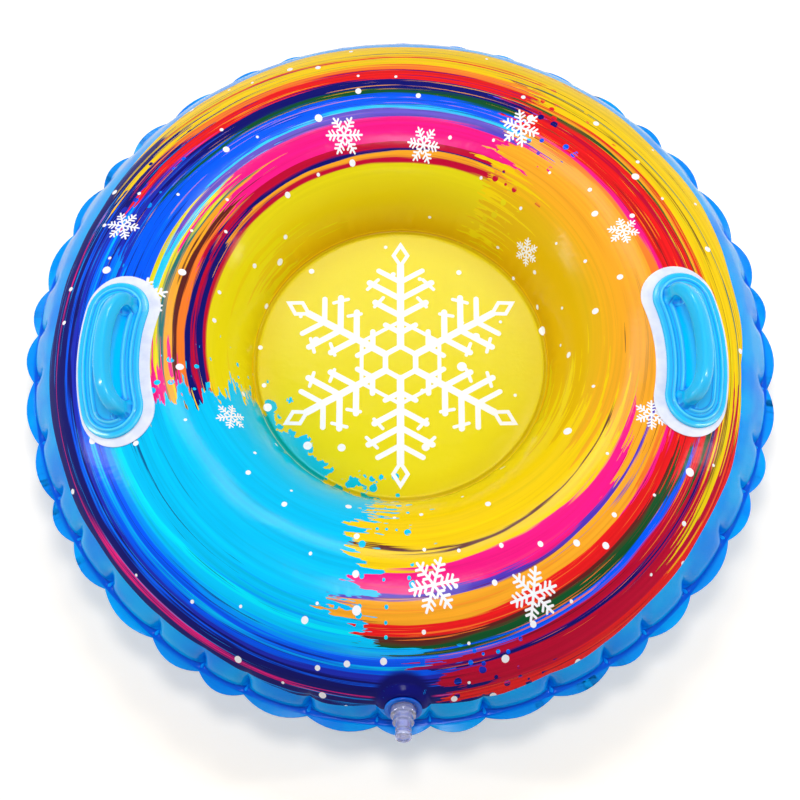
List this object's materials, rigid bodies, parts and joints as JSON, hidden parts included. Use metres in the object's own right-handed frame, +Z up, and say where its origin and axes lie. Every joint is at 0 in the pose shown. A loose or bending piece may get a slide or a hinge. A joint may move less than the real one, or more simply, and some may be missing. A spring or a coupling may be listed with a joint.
{
  "type": "snow tube",
  "caption": "Inflatable round snow tube with a flat seat floor, scalloped rim weld, side grip handles and an air valve with a check flap and pull-out plug.",
  "frame": {"origin": "centre of the box around the whole tube, on the ground it lies on", "axes": "+Z up along the ring's axis, the valve towards -Y, the handles at -X and +X"},
  "size_m": [0.9702, 0.9894, 0.2771],
  "materials": {
    "printed_skin": "glossy",
    "base_skin": "glossy",
    "patch": "satin",
    "handle": "glossy",
    "boot": "glossy",
    "clear_stem": "glossy",
    "clear_plug": "glossy",
    "flap_film": "glossy"
  },
  "bodies": {
    "tube": {"top_sheet": "printed_skin", "bottom_sheet": "base_skin", "handle_patch_left": "patch", "handle_patch_right": "patch", "handle_left": "handle", "handle_right": "handle", "valve_boot": "boot"},
    "insert": {"valve_insert": "clear_stem"},
    "plug": {"valve_plug": "clear_plug"},
    "flap": {"valve_check_flap": "flap_film"}
  },
  "joints": [
    {"name": "insert_pull", "type": "slide", "parent": "tube", "child": "insert", "axis": [0.0064, -0.9123, 0.4094], "range_m": [0, 0.048]},
    {"name": "plug_pull", "type": "slide", "parent": "insert", "child": "plug", "axis": [0.0064, -0.9123, 0.4094], "range_m": [0, 0.018]},
    {"name": "flap_swing", "type": "hinge", "parent": "insert", "child": "flap", "pos_m": [0.00339, -0.42554, 0.15995], "axis": [1, 0.007, 0], "range_deg": [0, 60], "stiffness_Nm_per_rad": 0.0001, "springref_deg": -11.46}
  ]
}
